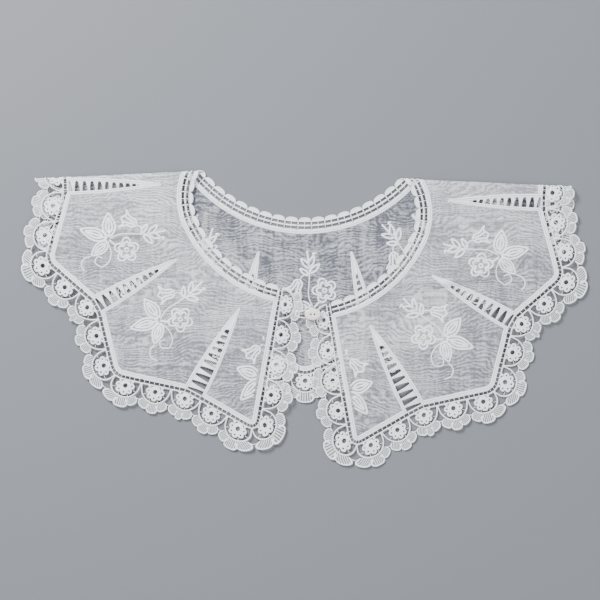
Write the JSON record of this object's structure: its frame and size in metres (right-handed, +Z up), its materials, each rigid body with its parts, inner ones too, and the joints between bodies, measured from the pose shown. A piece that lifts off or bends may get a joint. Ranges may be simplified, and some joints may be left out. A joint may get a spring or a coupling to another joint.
{
  "type": "lace collar",
  "caption": "Wide embroidered cape collar in sheer cloth with ladder inserts, deep scalloped lace edging and a buttoned front, laid flat with its fronts folded over its back.",
  "frame": {"origin": "on the surface that the collar lies on, below the middle of its outline", "axes": "+X across the collar from its left side in plan to its right, +Y from the hem towards the folded shoulders, +Z up out of the surface"},
  "size_m": [0.4392, 0.2312, 0.0067],
  "materials": {
    "sheer_cloth": "sheer, matt",
    "ladder_thread": "matt",
    "lace": "matt",
    "pearl": "pearly",
    "cotton_thread": "matt"
  },
  "bodies": {
    "root": {"body": "sheer_cloth", "ladder_left_front": "ladder_thread", "ladder_left_chest": "ladder_thread", "ladder_left_shoulder": "ladder_thread", "ladder_left_blade": "ladder_thread", "ladder_left_nape": "ladder_thread", "ladder_right_front": "ladder_thread", "ladder_right_chest": "ladder_thread", "ladder_right_shoulder": "ladder_thread", "ladder_right_blade": "ladder_thread", "ladder_right_nape": "ladder_thread", "edging": "lace", "neck_trim": "lace", "button": "pearl", "button_thread": "cotton_thread", "loop": "cotton_thread"}
  },
  "joints": []
}
